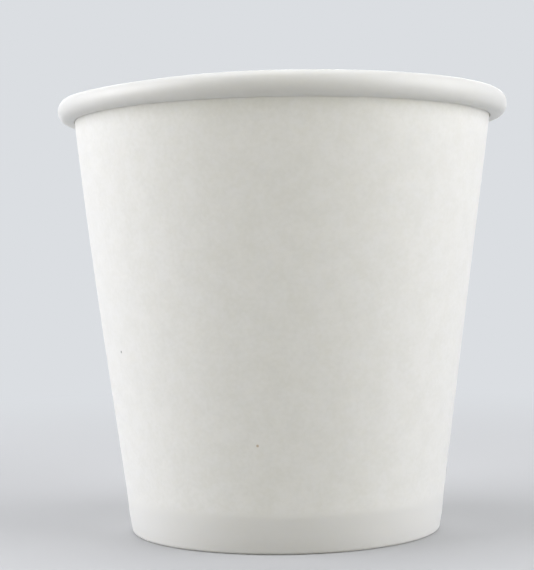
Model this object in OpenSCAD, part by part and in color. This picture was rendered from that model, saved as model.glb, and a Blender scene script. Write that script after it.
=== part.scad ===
// Small single-wall paper cup, made of two paperboard blanks: a rolled side wall and a base disc.
// Millimetres, +Z up. The origin is on the table, at the centre of the foot ring.
// The front is -Y, so the lap seam of the wall is at the back, on +Y.

/* [Cup] */
// Outside diameter across the rolled rim
rim_d = 62.5; // [56:0.5:72]
// Height from the table to the top of the rim
cup_h = 59.5; // [48:0.5:80]
// Outside diameter of the wall, carried straight down to the table
foot_d = 42.5; // [38:0.5:48]

/* [Paperboard] */
// Thickness of the side-wall board
wall_t = 0.3; // [0.24:0.02:0.38]
// Thickness of the base board
base_t = 0.3; // [0.24:0.02:0.38]
// Plastic film that seals one ply to the next
seal_t = 0.02; // [0.01:0.01:0.05]

/* [Rolled rim] */
// Width of the roll, from the inner face of the wall outwards
bead_w = 2.4; // [2.1:0.1:2.8]
// Height of the roll
bead_h = 3.1; // [3:0.1:3.6]
// Gap between the wall and the cut edge of the board under the roll
edge_gap = 0.06; // [0.05:0.01:0.15]

/* [Foot] */
// Height of the underside of the base above the table
base_recess = 5; // [4:0.2:7]
// Gap between the cut edge of the hem and the base
hem_gap = 0.8; // [0.5:0.1:1.5]
// Inside radius of the bend between the base and its skirt
base_bend = 0.25; // [0.15:0.05:0.4]

/* [Side seam] */
// Overlap of the two ends of the wall blank, at half height
lap_w = 6; // [4:0.5:9]

/* [Hidden] */
$fn = 120;
rim_r = rim_d / 2;
foot_r = foot_d / 2;

// The roll is an oval, and under it the board goes straight back to the wall
bead_a = bead_w / 2;
bead_b = bead_h / 2;
bead_c = [rim_r - bead_a, cup_h - bead_b];

// The wall leans out so that its inner face runs tangent into the roll, at bead_start on the oval
reach = bead_c - [foot_r, 0];
lean = lean_for(norm([bead_a * cos(lean_for(bead_a)), bead_b * sin(lean_for(bead_a))]));
bead_start = atan2(bead_b * sin(lean), -bead_a * cos(lean));

// The foot is three plies thick: wall, base skirt and hem
fold_w = wall_t + seal_t + base_t + seal_t + wall_t;
fold_out_r = 0.46 * fold_w;
fold_in_r = 0.38 * fold_w;
hem_z = base_recess - hem_gap;
skirt_z = fold_w;
skirt_in = -(wall_t + seal_t + base_t);

// The seam: the outer ply lies over the inner ply and comes down beside it in a flat ramp
mid_r = (foot_r + rim_r) / 2;
ramp_sink = 0.03;
ramp_deg = sqrt(2 * mid_r * (wall_t + ramp_sink)) / mid_r * 180 / PI;
lap_deg = lap_w / mid_r * 180 / PI;
ramp_az = 90 - lap_deg / 2 - ramp_deg;
ply_z = [fold_w, cup_h - bead_h - 0.05];
step_z = [hem_z + 0.3, cup_h - bead_h - 0.5];

// Points along an arc about c, without the first `skip` of them
function arc(c, r, from, to, n, skip = 0) =
    [for (i = [skip:n]) let (a = from + (to - from) * i / n) c + r * [cos(a), sin(a)]];

// Point at height z, at distance d outside the outer face of the wall
function at(d, z) = [foot_r + (d + z * sin(lean)) / cos(lean), z];

// Lean of a wall whose inner face passes the centre of the roll at this distance
function lean_for(distance) = atan2(reach.x, reach.y) - asin((distance - wall_t) / norm(reach));

// Points along the roll, without the first `skip` of them, in the face of the board at this depth
function roll(depth, from, to, n, skip = 0) =
    [for (i = [skip:n]) let (a = from + (to - from) * i / n, out = [cos(a) / bead_a, sin(a) / bead_b])
        bead_c + [bead_a * cos(a), bead_b * sin(a)] - (wall_t - depth) * out / norm(out)];

function reversed(list) = [for (i = [len(list) - 1:-1:0]) list[i]];

// One face of the wall board, from the cut edge of the hem to the cut edge under the roll.
// depth is 0 for the outer face of the cup and wall_t for its inner face.
function board_face(depth) = concat(
    [at(-fold_w + depth, hem_z)],
    arc(at(-fold_w + fold_in_r, fold_in_r), fold_in_r - depth, 180 - lean, 270, 4),
    arc(at(-fold_out_r, fold_out_r), fold_out_r - depth, 270, 360 - lean, 5),
    roll(depth, bead_start, 90, 8),
    roll(depth, 90, 0, 8, 1),
    roll(depth, 0, -90, 8, 1),
    [at(edge_gap, cup_h - bead_h + wall_t - depth)]
);

// Section of a sleeve along the wall between two distances and two heights
module sleeve_section(d, z) {
    polygon([at(d[0], z[0]), at(d[1], z[0]), at(d[1], z[1]), at(d[0], z[1])]);
}

// Everything outside the flat ramp, which stands depth inside the wall where it starts
module outside_ramp(depth) {
    rotate([0, 0, ramp_az])
        translate([foot_r, 0, 0])
            rotate([0, lean, 0])
                translate([-depth, -4, -10])
                    cube([8, 24, cup_h + 20]);
}

// The end of the blank that lies outside: it has a cut edge at one side and the ramp at the other
module outer_ply() {
    difference() {
        rotate([0, 0, ramp_az])
            rotate_extrude(angle = ramp_deg + lap_deg)
                sleeve_section([-wall_t / 2, wall_t], ply_z);
        outside_ramp(ramp_sink);
    }
}

// The shallow step inside the cup, from the cut edge of the inner ply back along the ramp
module inner_step() {
    difference() {
        rotate([0, 0, ramp_az])
            rotate_extrude(angle = ramp_deg)
                sleeve_section([-2 * wall_t, 0], step_z);
        outside_ramp(ramp_sink + wall_t);
    }
}

// Wall blank: rolled rim, leaning wall, lap seam, and the foot folded in and up as a hem
module side_wall() {
    color([0.94, 0.94, 0.92])
        difference() {
            union() {
                rotate_extrude()
                    polygon(concat(board_face(wall_t), reversed(board_face(0))));
                outer_ply();
            }
            inner_step();
        }
}

// Base blank: a flat disc with its edge turned down between the wall and the hem
module base_disc() {
    bend_c = at(skirt_in - base_bend, base_recess - base_bend);
    color([0.9, 0.9, 0.87])
        rotate_extrude()
            polygon(concat(
                [[0, base_recess]],
                arc(bend_c, base_bend, 90, -lean, 5),
                [at(skirt_in, skirt_z), at(skirt_in + base_t, skirt_z)],
                arc(bend_c, base_bend + base_t, -lean, 90, 7),
                [[0, base_recess + base_t]]
            ));
}

side_wall();
base_disc();
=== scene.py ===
# %% [markdown]
# # A small paper cup
#
# The cup is plain white, about as big as a tasting cup, and made of two pieces of paperboard.
# The wall is a fan-shaped blank that is wrapped round, lapped in a side seam, rolled out at the
# rim and folded in at the foot. The base is a disc whose turned-down edge is trapped in that fold.
# Both could be drawn as turned solids, but a real cup is a sheet: it has a lap, cut edges, a film
# on one face only and small dents. So each piece is worked out here as a sheet with two faces.

import math

import bpy
import numpy as np
from mathutils import Matrix, Vector


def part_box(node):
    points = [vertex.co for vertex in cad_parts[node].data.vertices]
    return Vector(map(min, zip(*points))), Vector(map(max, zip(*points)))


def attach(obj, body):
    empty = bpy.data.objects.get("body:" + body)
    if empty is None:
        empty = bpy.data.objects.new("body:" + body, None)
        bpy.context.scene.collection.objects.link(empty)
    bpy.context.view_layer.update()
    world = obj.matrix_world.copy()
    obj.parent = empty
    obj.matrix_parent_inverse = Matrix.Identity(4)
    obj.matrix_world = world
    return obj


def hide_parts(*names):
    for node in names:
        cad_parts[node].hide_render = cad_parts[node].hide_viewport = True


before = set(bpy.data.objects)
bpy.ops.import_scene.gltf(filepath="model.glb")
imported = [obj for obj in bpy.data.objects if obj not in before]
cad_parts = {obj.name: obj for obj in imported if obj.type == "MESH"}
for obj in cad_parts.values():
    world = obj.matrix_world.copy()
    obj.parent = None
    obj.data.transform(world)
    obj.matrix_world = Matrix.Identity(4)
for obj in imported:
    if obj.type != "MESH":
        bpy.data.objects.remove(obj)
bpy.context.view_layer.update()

MM = 0.001
wall_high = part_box("side_wall")[1]
base_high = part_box("base_disc")[1]
rim_r = wall_high.x / MM
cup_h = wall_high.z / MM
base_top = base_high.z / MM
print(f"frame: rim {2 * rim_r:.1f} mm across, height {cup_h:.1f} mm, base at {base_top:.1f} mm")

# %% [markdown]
# ## Camera
#
# The view is taken from close by, a little above the middle of the cup, with the lens level.
# So the rim is seen from slightly below and the foot from slightly above. A camera can be set
# by eye, but here its distance, height and small turns were worked out from the outline of the
# cup, and only those few values are kept.

# %% Camera
photo_h = 570
focal_px = 1465.3
camera_distance = 204.4
camera_height = 34.96
camera_yaw, camera_pitch, camera_roll = -0.0104, -0.0061, 0.0161
sensor_mm = 36.0


def aim(yaw, pitch, roll):
    """Turns three small angles, in radians, into a matrix whose columns are right, up and back."""
    ahead = Vector((math.sin(yaw) * math.cos(pitch), math.cos(yaw) * math.cos(pitch), math.sin(pitch)))
    side = Vector((math.cos(yaw), -math.sin(yaw), 0.0))
    top = side.cross(ahead)
    right = side * math.cos(roll) - top * math.sin(roll)
    up = side * math.sin(roll) + top * math.cos(roll)
    return Matrix((right, up, -ahead)).transposed()


lens = bpy.data.cameras.new("photo_lens")
lens.sensor_fit = "VERTICAL"
lens.sensor_height = sensor_mm
lens.lens = focal_px / photo_h * sensor_mm
lens.clip_start = 0.01
camera = bpy.data.objects.new("photo_camera", lens)
place = Matrix.Translation((0.0, -camera_distance * MM, camera_height * MM))
camera.matrix_world = place @ aim(camera_yaw, camera_pitch, camera_roll).to_4x4()
bpy.context.scene.collection.objects.link(camera)
bpy.context.scene.camera = camera
print(f"camera: {lens.lens:.1f} mm lens, {camera_distance:.0f} mm from the axis of the cup")

# %% [markdown]
# ## The section of the wall board
#
# Cut the cup from the rim to the foot and the wall shows as one line of constant thickness.
# It starts at the cut edge of the hem inside the foot, goes round the fold, up the leaning wall
# and round the roll of the rim, and runs straight back under the roll to a second cut edge that
# all but touches the wall. A curve object with a bevel could carry it, but arrays of points and
# normals give both faces exactly: the second face is the first one moved along the normals by the
# thickness of the board.

# %% Sizes of the board, the roll and the foot
wall_t = 0.3
base_t = 0.3
seal_t = 0.02
foot_r = 21.25
bead_a, bead_b = 1.2, 1.55
edge_gap = 0.06
hem_gap = 0.8
base_recess = base_top - base_t
hem_z = base_recess - hem_gap
bead_c = np.array([rim_r - bead_a, cup_h - bead_b])

# The inner face of the wall runs tangent into the oval roll: a few rounds settle the angle
lean_rounds = 3
reach = bead_c - [foot_r, 0.0]
lean = 0.0
for _ in range(lean_rounds):
    passes_at = math.hypot(bead_a * math.cos(lean), bead_b * math.sin(lean))
    lean = math.atan2(*reach) - math.asin((passes_at - wall_t) / math.hypot(*reach))
lean_deg = math.degrees(lean)
bead_start = math.degrees(math.atan2(bead_b * math.sin(lean), -bead_a * math.cos(lean)))
out_of_wall = np.array([math.cos(lean), -math.sin(lean)])

fold_w = 2 * wall_t + base_t + 2 * seal_t
fold_out_r = 0.46 * fold_w
fold_in_r = 0.38 * fold_w
print(f"board: wall leans out by {lean_deg:.2f} degrees, foot is {fold_w:.2f} mm thick")

# %% Helpers for points along the section


def at(distance, z):
    """Point at height z on a line parallel to the wall, at this distance outside its outer face."""
    return np.array([foot_r + (distance + z * math.sin(lean)) / math.cos(lean), z])


def arc(centre, radius, start, stop, steps):
    """Points centre + radius * (cos a, sin a) for even angles a in degrees, and those unit spokes."""
    a = np.radians(np.linspace(start, stop, steps + 1))
    spokes = np.stack([np.cos(a), np.sin(a)], axis=1)
    return centre + radius * spokes, spokes


def roll(start, stop, steps):
    """Points on the oval, c + (a cos t, b sin t), moved in by the board, and normals pointing in."""
    t = np.radians(np.linspace(start, stop, steps + 1))
    out = np.stack([np.cos(t) / bead_a, np.sin(t) / bead_b], axis=1)
    out /= np.linalg.norm(out, axis=1, keepdims=True)
    return bead_c + np.stack([bead_a * np.cos(t), bead_b * np.sin(t)], axis=1) - wall_t * out, -out


def between(p, q, rows, normal):
    """Points p + (q - p) * k / (rows + 1) strictly between p and q, all with the same normal."""
    k = np.arange(1, rows + 1)[:, None] / (rows + 1)
    return p + (q - p) * k, np.tile(normal, (rows, 1))


# %% The outer face of the board, from the hem to the roll
hem_rows, wall_rows, return_rows = 4, 26, 3
fold_in_steps, fold_out_steps, over_steps, under_steps = 6, 7, 11, 22


def board_section():
    """The outer face as points and normals: hem, two fold arcs, wall line, oval roll, return line."""
    fold_in = arc(at(fold_in_r - fold_w, fold_in_r), fold_in_r, 180 - lean_deg, 270, fold_in_steps)
    fold_out = arc(at(-fold_out_r, fold_out_r), fold_out_r, 270, 360 - lean_deg, fold_out_steps)
    over, under = roll(bead_start, 90, over_steps), roll(90, -90, under_steps)
    roll_edge = at(edge_gap, cup_h - 2 * bead_b + wall_t)
    hem_edge = at(-fold_w, hem_z)
    pieces = [
        (hem_edge[None], -out_of_wall[None]),
        between(hem_edge, fold_in[0][0], hem_rows, -out_of_wall),
        fold_in,
        fold_out,
        between(fold_out[0][-1], over[0][0], wall_rows, out_of_wall),
        over,
        (under[0][1:], under[1][1:]),
        between(under[0][-1], roll_edge, return_rows, under[1][-1]),
        (roll_edge[None], under[1][-1:]),
    ]
    counts = [len(points) for points, normals in pieces]
    return (
        np.concatenate([points for points, normals in pieces]),
        np.concatenate([normals for points, normals in pieces]),
        np.repeat(np.arange(len(pieces)), counts),
    )


HEM_EDGE, HEM, FOLD_IN, FOLD_OUT, WALL, ROLL_OVER, ROLL_UNDER, RETURN, ROLL_EDGE = range(9)
section, section_normals, section_zone = board_section()
print(f"section: {len(section)} points from the hem's edge to the edge under the roll")

# %% [markdown]
# ## The lap seam
#
# The blank goes round a little more than once, and its last few millimetres lie over its first
# ones, sealed by heat. Outside, the upper ply ends in a fine cut edge. Inside, the lower ply does.
# Beside that inner edge the upper ply comes down in a flat ramp, because a sheet bent over a step
# lies along the tangent. Two overlapping solids would hide all this, so the sheet is simply given
# more than 360 degrees, and a lift that grows with the square of the angle along the ramp.
# At the foot the two plies are pressed to the thickness of one.

# %% Columns round the cup, and where each ply of the seam lies
lap_w = 6.0
mid_r = (foot_r + rim_r) / 2
lap_deg = math.degrees(lap_w / mid_r)
ramp_deg = math.degrees(math.sqrt(2 * wall_t / mid_r))
inner_edge_az = 90 - lap_deg / 2
press_from, press_to = 6.0, 1.5
cover_fade_deg = 2.0
lap_columns, plain_columns, ramp_columns = 20, 470, 14

turn = np.concatenate([
    np.linspace(0, lap_deg, lap_columns, endpoint=False),
    np.linspace(lap_deg, 360 - ramp_deg, plain_columns, endpoint=False),
    np.linspace(360 - ramp_deg, 360, ramp_columns, endpoint=False),
    np.linspace(360, 360 + lap_deg, lap_columns + 1),
])


def ease(x):
    """Smooth step from 0 to 1: 3 x^2 - 2 x^3, flat outside that range."""
    x = np.clip(x, 0, 1)
    return x * x * (3 - 2 * x)


def seam_lift(turn):
    """0 where the sheet is one ply, 1 where it lies over itself, and between them the ramp's square."""
    return np.clip((turn - 360 + ramp_deg) / ramp_deg, 0, 1)[:, None] ** 2


def seam_offsets(turn, section, zone):
    """Distances of both faces from the plain outer face, for every column and row of the sheet."""
    lift = seam_lift(turn)
    covered = ease((lap_deg - turn) / cover_fade_deg)[:, None]
    pressed = np.where(zone < WALL, 1.0, ease((press_from - section[:, 1]) / (press_from - press_to)))
    pressed = np.where(zone > WALL, 0.0, pressed)[None, :]
    outer = (wall_t + seal_t) * lift * (1 - pressed) - covered * pressed * (wall_t / 2 + seal_t)
    inner = -wall_t + wall_t * lift * (1 - pressed / 2) + seal_t * lift
    return outer, inner + 0 * outer


outer_offset, inner_offset = seam_offsets(turn, section, section_zone)
print(f"seam: lap of {lap_deg:.1f} degrees, ramp of {ramp_deg:.1f} degrees")

# %% [markdown]
# ## What making and use left in the sheet
#
# A paper cup is never quite round. The rim of this one is pushed in and down a little on the left,
# the wall has waves too low to see as such, which only soften the shading, and the foot stands
# slightly proud where three plies are pressed together. Inside the foot a toothed wheel has
# pressed upright grooves into the hem. These are small changes of radius and height, so each is
# one smooth function of the angle and the height, added to the points of the sheet.

# %% Knurled hem
knurl_count = 80
knurl_depth = 0.09
knurl_from, knurl_rise = 0.7, 0.5
knurl_stop, knurl_fall = 0.3, 0.4


def knurl(turn, section, zone):
    """Grooves in the hem: depth * (1 - |cos|) of the angle, only on the straight part of the hem."""
    teeth = 1 - np.abs(np.cos(np.radians(turn * knurl_count / 2)))
    height = section[:, 1]
    rise = ease((height - knurl_from) / knurl_rise)
    window = rise * ease((hem_z - knurl_stop - height) / knurl_fall)
    return -knurl_depth * teeth[:, None] * np.where(zone == HEM, window, 0.0)[None, :]


outer_offset = outer_offset + knurl(turn, section, section_zone)
print(f"hem: {knurl_count} grooves, {2 * math.pi * (foot_r - fold_w) / knurl_count:.2f} mm apart")

# %% Dent, waves and proud foot
dent_az, dent_spread, dent_in = 184.0, 42.0, 0.75
sag_az, sag_spread, sag_drop = 222.0, 30.0, 0.42
wave_height, wave_stop, wave_fall = 0.05, 4.0, 12.0
foot_swell, swell_rise, swell_stop, swell_fall = 0.10, 1.2, 5.4, 2.2


def bell(azimuth, centre, spread):
    """Bell curve round the cup: exp of minus (angle from the centre / spread) squared."""
    away = (azimuth - centre + 180) % 360 - 180
    return np.exp(-((away / spread) ** 2))


def deformed(radius, height, azimuth):
    """Moves points: bell-shaped dent and sag at the rim, waves of two cosines, a swell at the foot."""
    share = np.clip(height / cup_h, 0, 1)
    dent = dent_in * bell(azimuth, dent_az, dent_spread) * share ** 4
    sag = sag_drop * bell(azimuth, sag_az, sag_spread) * ease((height - cup_h) / (2 * bead_b) + 1)
    a = np.radians(azimuth)
    waves = np.cos(5 * a + 0.6 + 2.2 * share) + 0.7 * np.cos(8 * a - 1.1 - 3.0 * share)
    window = ease(share * 2) * ease((cup_h - wave_stop - height) / wave_fall)
    wave = wave_height * (waves / 1.7 - 1) / 2 * window
    swell = foot_swell * ease(height / swell_rise) * ease((swell_stop - height) / swell_fall)
    return radius - dent + wave + swell, height - sag


# The edge under the roll stops short of the second ply
returned = np.clip((bead_c[0] - section[:, 0]) / (bead_c[0] - section[-1, 0]), 0, 1)
edge_share = np.where(section_zone >= RETURN, returned, 0.0)
edge_room = (wall_t + seal_t) * seam_lift(turn) * edge_share[None, :]


def sheet_points(offset):
    """Carries the section round the axis: point + offset * normal, turned to the column's azimuth."""
    radius = section[None, :, 0] + offset * section_normals[None, :, 0] + edge_room
    height = section[None, :, 1] + offset * section_normals[None, :, 1]
    azimuth = (inner_edge_az + turn)[:, None] + 0 * radius
    radius, height = deformed(radius, height, azimuth)
    a = np.radians(azimuth)
    return np.stack([radius * np.cos(a), radius * np.sin(a), height], axis=-1) * MM


outer_face, inner_face = sheet_points(outer_offset), sheet_points(inner_offset)
print(f"wall: {outer_face.shape[0]} columns by {outer_face.shape[1]} rows on each face")

# %% [markdown]
# ## The side wall as a mesh
#
# Two grids of points, one for each face, become one closed skin: quads on both grids, the inner
# one turned over, and four strips along the cut edges. Solidify could make the thickness, but it
# would not keep the lap apart, and here every face also knows which side of the board it is.

# %% Closing two grids into a sheet
OUTSIDE, FILM, CUT_EDGE = range(3)
sharp_deg = 50


def quads(a, b, c, d):
    """Four equal arrays of vertex numbers, corner by corner, as one list of quads."""
    return np.stack([a.ravel(), b.ravel(), c.ravel(), d.ravel()], axis=1)


def sheet_faces(columns, rows):
    """Quads of a closed sheet and the side each is on. The inner grid starts at columns * rows."""
    o = np.arange(columns * rows).reshape(columns, rows)
    i = o + columns * rows
    faces = [
        quads(o[:-1, :-1], o[1:, :-1], o[1:, 1:], o[:-1, 1:]),
        quads(i[:-1, :-1], i[:-1, 1:], i[1:, 1:], i[1:, :-1]),
        quads(o[1:, 0], o[:-1, 0], i[:-1, 0], i[1:, 0]),
        quads(o[:-1, -1], o[1:, -1], i[1:, -1], i[:-1, -1]),
        quads(o[0, :-1], o[0, 1:], i[0, 1:], i[0, :-1]),
        quads(o[-1, 1:], o[-1, :-1], i[-1, :-1], i[-1, 1:]),
    ]
    sides = [OUTSIDE, FILM] + [CUT_EDGE] * 4
    return np.concatenate(faces), np.repeat(sides, [len(f) for f in faces])


def new_piece(name, points, faces, sides):
    """A mesh object at the origin, smooth but with its cut edges kept sharp."""
    mesh = bpy.data.meshes.new(name)
    mesh.from_pydata(points.reshape(-1, 3).tolist(), [], faces)
    mesh.polygons.foreach_set("material_index", np.asarray(sides, dtype=np.int32))
    mesh.polygons.foreach_set("use_smooth", np.ones(len(mesh.polygons), dtype=bool))
    mesh.set_sharp_from_angle(angle=math.radians(sharp_deg))
    mesh.validate()
    piece = bpy.data.objects.new(name, mesh)
    bpy.context.scene.collection.objects.link(piece)
    print(f"{name}: {len(mesh.vertices)} points, {len(mesh.polygons)} faces")
    return piece


# %% Side wall
wall_faces, wall_sides = sheet_faces(*outer_face.shape[:2])
wall = new_piece("wall_sheet", np.stack([outer_face, inner_face]), wall_faces.tolist(), wall_sides)
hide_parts("side_wall")
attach(wall, "root")

# %% [markdown]
# ## The base
#
# The base is punched as a disc and pressed into the cup, which turns its edge down. A flat disc
# has too much board at that edge, so it gathers in fine puckers, and the middle ends up a hair
# lower than the rim of the disc. A turned profile gives the shape. The puckers are a ripple that
# lives only near the bend.

# %% Base profile
base_bend = 0.25
skirt_z = fold_w
skirt_in = -(wall_t + seal_t + base_t)
bend_c = at(skirt_in - base_bend, base_recess - base_bend)
dish = 0.18
pucker_count, pucker_height, pucker_reach, pucker_fade = 72, 0.035, 2.6, 0.3
flat_rows, bend_in_steps, bend_out_steps = 16, 6, 9


def base_profile():
    """Closed half-section from the middle of the underside, round the skirt, to the middle on top."""
    under_bend, spokes = arc(bend_c, base_bend, 90, -lean_deg, bend_in_steps)
    top_bend, spokes = arc(bend_c, base_bend + base_t, -lean_deg, 90, bend_out_steps)
    out = np.linspace(0, 1, flat_rows + 1)[:-1, None] * [bend_c[0], 0]
    underside = out + [0, base_recess]
    topside = out[::-1] + [0, base_recess + base_t]
    skirt = np.stack([at(skirt_in, skirt_z), at(skirt_in + base_t, skirt_z)])
    rows = [underside, under_bend, skirt, top_bend, topside]
    under_count, top_count = flat_rows + bend_in_steps + 1, flat_rows + bend_out_steps + 1
    sides = [OUTSIDE] * under_count + [CUT_EDGE] + [FILM] * top_count
    return np.concatenate(rows), sides


base_rows, base_row_sides = base_profile()
print(f"base: {2 * (bend_c[0] + base_bend + base_t):.1f} mm across at the bend")

# %% Base disc
base_columns = 288


def base_points(profile):
    """Turns the profile about the axis, dished by (1 - r^2)^2 and rippled near the bend."""
    a = np.linspace(0, 2 * np.pi, base_columns, endpoint=False)[:, None]
    radius, height = profile[None, :, 0], profile[None, :, 1]
    share = radius / bend_c[0]
    flat = np.where(height > base_recess - base_bend, 1.0, 0.0)
    near = ease(1 - (bend_c[0] - radius) / pucker_reach)
    near = near * ease((bend_c[0] + pucker_fade - radius) / pucker_fade)
    ripple = pucker_height * np.abs(np.cos(pucker_count / 2 * a + 0.4 * np.cos(3 * a))) * near
    lift = -dish * np.clip(1 - share ** 2, 0, 1) ** 2 - flat * ripple
    points = [radius * np.cos(a), radius * np.sin(a), height + lift]
    return np.stack([p + 0 * a for p in points], axis=-1) * MM


def turned_faces(columns, rows):
    """Quads round a closed turned skin whose first and last rows are single points, with two fans."""
    ring = np.arange(columns * (rows - 2)).reshape(columns, rows - 2)
    after = np.roll(ring, -1, axis=0)
    first, last = ring.size, ring.size + 1
    band = quads(ring[:, :-1], after[:, :-1], after[:, 1:], ring[:, 1:])
    fan_a = np.stack([np.full(columns, first), after[:, 0], ring[:, 0]], axis=1)
    fan_b = np.stack([np.full(columns, last), ring[:, -1], after[:, -1]], axis=1)
    return band, fan_a, fan_b


grid = base_points(base_rows)
band, fan_a, fan_b = turned_faces(*grid.shape[:2])
base_vertices = np.concatenate([grid[:, 1:-1].reshape(-1, 3), grid[:1, 0], grid[:1, -1]])
base_sides = np.concatenate([
    np.tile(base_row_sides[1:-1], base_columns),
    np.full(base_columns, base_row_sides[0]),
    np.full(base_columns, base_row_sides[-1]),
])
base_faces = band.tolist() + fan_a.tolist() + fan_b.tolist()
base = new_piece("base_sheet", base_vertices, base_faces, base_sides)
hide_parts("base_disc")
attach(base, "root")

# %% [markdown]
# ## Paperboard
#
# The board is bleached and uncoated outside: matt, nearly white, with a faint cloudiness from the
# way the fibres settle on the wire, and a nap of fibres that only shows as softness. Inside it has
# a film of polyethylene, which keeps the drink in and gives a soft shine. The cut edges are bare
# fibre. Image textures could hold this, but noise in the object's own millimetres fits every side.

# %% Helpers for materials


def linear(hex_colour):
    """sRGB hex to linear colour: c / 12.92 up to 0.04045, above it ((c + 0.055) / 1.055) ^ 2.4."""
    c = np.array([int(hex_colour[k:k + 2], 16) for k in (1, 3, 5)]) / 255
    c = np.where(c <= 0.04045, c / 12.92, ((c + 0.055) / 1.055) ** 2.4)
    return (*c.tolist(), 1.0)


def add(tree, kind, inputs=None, **settings):
    """Adds a node. Settings are its properties. Inputs maps sockets to a value or to an output."""
    node = tree.nodes.new(kind)
    for name, value in settings.items():
        setattr(node, name, value)
    for socket, value in (inputs or {}).items():
        if isinstance(value, bpy.types.NodeSocket):
            tree.links.new(value, node.inputs[socket])
        else:
            node.inputs[socket].default_value = value
    return node


def new_material(name):
    """An empty node material with its Principled shader, and that shader."""
    material = bpy.data.materials.new(name)
    material.use_nodes = True
    return material, material.node_tree, material.node_tree.nodes["Principled BSDF"]


def per_metre(size_mm):
    """Texture scale at which one cell of noise is this many millimetres wide."""
    return 1 / (size_mm * MM)


def noise(tree, place, size_mm, detail):
    """Soft random value between 0 and 1, in cells of this many millimetres, with finer steps inside."""
    inputs = {"Vector": place, "Scale": per_metre(size_mm), "Detail": detail}
    return add(tree, "ShaderNodeTexNoise", inputs).outputs["Fac"]


scatter_mm = 0.40
scatter_tint = (1.0, 0.98, 0.93)


def let_light_through(shader):
    """Makes the board translucent: light wanders through one ply of it, but hardly through three."""
    shader.inputs["Subsurface Weight"].default_value = 1.0
    shader.inputs["Subsurface Radius"].default_value = scatter_tint
    shader.inputs["Subsurface Scale"].default_value = scatter_mm * MM


# Sockets of the Mix node when it mixes colours
FACTOR, COLOUR_A, COLOUR_B, COLOUR_OUT = 0, 6, 7, 2

# %% Uncoated bleached board, machine finished
# Painted shade: the band at the foot is a shade greyer than the wall, for the light that three pressed
# plies let through less than one
board_pale, board_cloud, foot_band_painted_shade = "#F2F2EF", "#EDEDE9", "#EFEFEB"
# Real fibres are about 0.03 mm thick, too fine to show, so fibre and nap are drawn coarser
cloud_mm, fibre_mm, nap_mm = 2.6, 0.55, 0.35
nap_strength, nap_depth_mm = 0.35, 0.02
mottle_range = (0.75, 1.25)
board_rough, board_ior = (0.80, 0.92), 1.45
# Specks of bark: azimuth from the front, height, radius, colour
specks = [(-59.5, 25.31, 0.17, "#9C9A97"), (-8.4, 13.91, 0.16, "#CDBFA9")]


def uncoated_board(name, with_foot_shade_and_specks):
    """Matt and nearly white: the eye gets soft shading, faint clouds of fibre and no highlight."""
    material, tree, shader = new_material(name)
    place = add(tree, "ShaderNodeTexCoord").outputs["Object"]
    cloud = noise(tree, place, cloud_mm, 3.0)
    fibre = noise(tree, place, fibre_mm, 2.0)
    both = add(tree, "ShaderNodeMath", {0: cloud, 1: fibre}, operation="ADD")
    mottle = add(tree, "ShaderNodeMapRange", {
        "Value": both.outputs[0], "From Min": mottle_range[0], "From Max": mottle_range[1],
    })
    tone = add(tree, "ShaderNodeMix", {
        FACTOR: mottle.outputs[0], COLOUR_A: linear(board_pale), COLOUR_B: linear(board_cloud),
    }, data_type="RGBA")
    colour = tone.outputs[COLOUR_OUT]
    # Painted shade on the band at the foot, where three plies let less light through; then the specks
    # of bark
    if with_foot_shade_and_specks:
        height = add(tree, "ShaderNodeSeparateXYZ", {0: place}).outputs["Z"]
        foot = add(tree, "ShaderNodeMapRange", {
            "Value": height, "From Min": (base_top + 0.2) * MM, "From Max": (base_top - 0.7) * MM,
        }, interpolation_type="SMOOTHSTEP")
        colour = add(tree, "ShaderNodeMix", {
            FACTOR: foot.outputs[0], COLOUR_A: colour, COLOUR_B: linear(foot_band_painted_shade),
        }, data_type="RGBA").outputs[COLOUR_OUT]
        for azimuth, z, radius, speck_colour in specks:
            a, out = math.radians(azimuth), foot_r + z * math.tan(lean)
            spot = Vector((out * math.sin(a), -out * math.cos(a), z)) * MM
            away = add(tree, "ShaderNodeVectorMath", {0: place, 1: spot}, operation="DISTANCE")
            dot = add(tree, "ShaderNodeMapRange", {
                "Value": away.outputs["Value"],
                "From Min": radius * 1.5 * MM, "From Max": radius * 0.5 * MM,
            }, interpolation_type="SMOOTHSTEP")
            colour = add(tree, "ShaderNodeMix", {
                FACTOR: dot.outputs[0], COLOUR_A: colour, COLOUR_B: linear(speck_colour),
            }, data_type="RGBA").outputs[COLOUR_OUT]
    nap = noise(tree, place, nap_mm, 3.0)
    bump = add(tree, "ShaderNodeBump", {
        "Height": nap, "Strength": nap_strength, "Distance": nap_depth_mm * MM,
    })
    rough = add(tree, "ShaderNodeMapRange", {
        "Value": cloud, "To Min": board_rough[0], "To Max": board_rough[1],
    })
    tree.links.new(colour, shader.inputs["Base Color"])
    tree.links.new(rough.outputs[0], shader.inputs["Roughness"])
    tree.links.new(bump.outputs[0], shader.inputs["Normal"])
    shader.inputs["IOR"].default_value = board_ior
    let_light_through(shader)
    return material


wall_outside = uncoated_board("uncoated_board_wall", True)
base_underside = uncoated_board("uncoated_board_base", False)
print("materials:", wall_outside.name, base_underside.name)

# %% Board laminated with polyethylene film
film_pale, film_cloud = "#F2F2EE", "#ECECE7"
orange_peel_mm, peel_strength, peel_depth_mm = 0.9, 0.3, 0.02
film_rough, film_ior = (0.36, 0.48), 1.51


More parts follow.
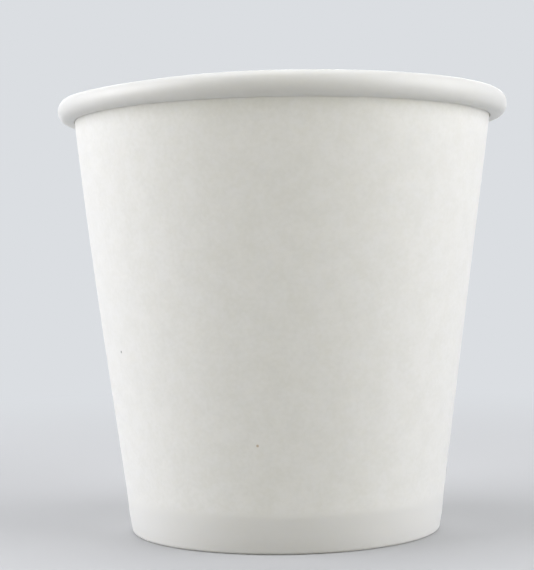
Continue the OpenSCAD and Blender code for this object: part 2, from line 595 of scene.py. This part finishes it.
def film_board(name):
    """Film over fibre: white, with a soft wide shine that ripples a little over the board's nap."""
    material, tree, shader = new_material(name)
    place = add(tree, "ShaderNodeTexCoord").outputs["Object"]
    cloud = noise(tree, place, cloud_mm, 3.0)
    tone = add(tree, "ShaderNodeMix", {
        FACTOR: cloud, COLOUR_A: linear(film_pale), COLOUR_B: linear(film_cloud),
    }, data_type="RGBA")
    peel = noise(tree, place, orange_peel_mm, 2.0)
    bump = add(tree, "ShaderNodeBump", {
        "Height": peel, "Strength": peel_strength, "Distance": peel_depth_mm * MM,
    })
    rough = add(tree, "ShaderNodeMapRange", {
        "Value": peel, "To Min": film_rough[0], "To Max": film_rough[1],
    })
    tree.links.new(tone.outputs[COLOUR_OUT], shader.inputs["Base Color"])
    tree.links.new(rough.outputs[0], shader.inputs["Roughness"])
    tree.links.new(bump.outputs[0], shader.inputs["Normal"])
    shader.inputs["IOR"].default_value = film_ior
    let_light_through(shader)
    return material


inside_film = film_board("polyethylene_film_board")
print("material:", inside_film.name)

# %% Cut edge of the board
edge_pale, edge_fibre = "#E9E6DD", "#DAD5C8"
# Drawn coarser than the real fibres, as on the faces
edge_fibre_mm, edge_rough = 0.15, 0.95


def cut_edge(name):
    """Bare fibre where the die went through: a little warmer and duller than the faces."""
    material, tree, shader = new_material(name)
    place = add(tree, "ShaderNodeTexCoord").outputs["Object"]
    fibre = noise(tree, place, edge_fibre_mm, 2.0)
    tone = add(tree, "ShaderNodeMix", {
        FACTOR: fibre, COLOUR_A: linear(edge_pale), COLOUR_B: linear(edge_fibre),
    }, data_type="RGBA")
    tree.links.new(tone.outputs[COLOUR_OUT], shader.inputs["Base Color"])
    shader.inputs["Roughness"].default_value = edge_rough
    return material


raw_edge = cut_edge("board_cut_edge")
for piece, outside in ((wall, wall_outside), (base, base_underside)):
    for material in (outside, inside_film, raw_edge):
        piece.data.materials.append(material)
print("material:", raw_edge.name)

# %% [markdown]
# ## Floor and light
#
# The floor is plain and pale and runs out into a backdrop of the same colour, so that no horizon
# cuts the picture. Two wide soft boxes hang left and right, higher than the cup, so the roll throws
# a soft shadow on the wall below it. One hangs above, a weaker one stands behind and a small warm
# one low in front. That leaves the middle of the wall in soft shade between two bright sides, as on
# the real cup. The floor looks pale but throws little light back, so the lower half of the roll
# stays in shade.

# %% Floor and backdrop
backdrop_colour = "#DBDEE2"
floor_colour, floor_throw = "#C9CACC", "#A3A3A3"
floor_r, floor_sides, floor_rough = 4.0, 64, 0.9
fade_from, fade_to = 0.06, 0.24


def seen(tree):
    """1 for rays that look at the scene, straight or in a reflection, and 0 for light that bounces."""
    rays = add(tree, "ShaderNodeLightPath").outputs
    mirrored = add(tree, "ShaderNodeMath", {0: rays["Is Glossy Ray"], 1: rays["Is Transmission Ray"]},
                   operation="MAXIMUM")
    return add(tree, "ShaderNodeMath", {0: rays["Is Camera Ray"], 1: mirrored.outputs[0]},
               operation="MAXIMUM").outputs[0]


def floor_material():
    """Matt pale paint that melts into the backdrop colour with the distance from the cup."""
    material, tree, shader = new_material("matt_floor_paint")
    place = add(tree, "ShaderNodeTexCoord").outputs["Object"]
    distance = add(tree, "ShaderNodeVectorMath", {0: place}, operation="LENGTH").outputs["Value"]
    far = add(tree, "ShaderNodeMapRange", {
        "Value": distance, "From Min": fade_from, "From Max": fade_to,
    }, interpolation_type="SMOOTHSTEP")
    melt = add(tree, "ShaderNodeMath", {0: far.outputs[0], 1: seen(tree)}, operation="MULTIPLY")
    backdrop = add(tree, "ShaderNodeEmission", {"Color": linear(backdrop_colour), "Strength": 1.0})
    mix = add(tree, "ShaderNodeMixShader", {
        0: melt.outputs[0], 1: shader.outputs[0], 2: backdrop.outputs[0],
    })
    paint = add(tree, "ShaderNodeMix", {
        FACTOR: seen(tree), COLOUR_A: linear(floor_throw), COLOUR_B: linear(floor_colour),
    }, data_type="RGBA")
    tree.links.new(paint.outputs[COLOUR_OUT], shader.inputs["Base Color"])
    shader.inputs["Roughness"].default_value = floor_rough
    tree.links.new(mix.outputs[0], tree.nodes["Material Output"].inputs["Surface"])
    return material


ring = np.linspace(0, 2 * np.pi, floor_sides, endpoint=False)
floor_points = np.stack([floor_r * np.cos(ring), floor_r * np.sin(ring), 0 * ring], axis=1)
floor_mesh = bpy.data.meshes.new("floor")
floor_mesh.from_pydata(floor_points.tolist(), [], [list(range(floor_sides))])
floor_mesh.materials.append(floor_material())
floor = bpy.data.objects.new("floor", floor_mesh)
bpy.context.scene.collection.objects.link(floor)
print(f"floor: {2 * floor_r:.0f} m across")

# %% Room fill
fill_colour, fill_strength = "#FFF9F0", 0.02

room = bpy.data.worlds.new("room")
room.use_nodes = True
room_tree = room.node_tree
fill = room_tree.nodes["Background"]
fill.inputs["Color"].default_value = linear(fill_colour)
fill.inputs["Strength"].default_value = fill_strength
backdrop = add(room_tree, "ShaderNodeBackground", {"Color": linear(backdrop_colour), "Strength": 1.0})
shown = add(room_tree, "ShaderNodeMixShader", {
    0: seen(room_tree), 1: fill.outputs[0], 2: backdrop.outputs[0],
})
room_tree.links.new(shown.outputs[0], room_tree.nodes["World Output"].inputs["Surface"])
bpy.context.scene.world = room
print(f"room fill: {fill_strength}")

# %% Soft boxes
# Place, side and power, in metres and watts, and colour
soft_boxes = {
    "left_soft_box": ((-0.561, -0.09, 0.22), 0.60, 4.05, "#FBFBFF"),
    "right_soft_box": ((0.538, -0.18, 0.22), 0.60, 3.6, "#FCFCFF"),
    "top_soft_box": ((0.0, 0.0, 0.70), 0.60, 2.3, "#F8FAFC"),
    "low_front_soft_box": ((0.0, -0.70, 0.04), 0.25, 0.42, "#FFEFA0"),
    "back_soft_box": ((0.0, 0.70, 0.20), 0.60, 2.1, "#FDFDFB"),
}
aim_at = Vector((0.0, 0.0, cup_h / 2 * MM))

for name, (where, size, watts, colour) in soft_boxes.items():
    lamp = bpy.data.lights.new(name, "AREA")
    lamp.shape = "SQUARE"
    lamp.size = size
    lamp.energy = watts
    lamp.color = linear(colour)[:3]
    box = bpy.data.objects.new(name, lamp)
    box.location = where
    box.rotation_euler = (aim_at - Vector(where)).to_track_quat("-Z", "Y").to_euler()
    box.visible_camera = False
    bpy.context.scene.collection.objects.link(box)
    print(f"{name}: {watts} W, {size * 1000:.0f} mm square")

bpy.context.scene.view_settings.view_transform = "Standard"
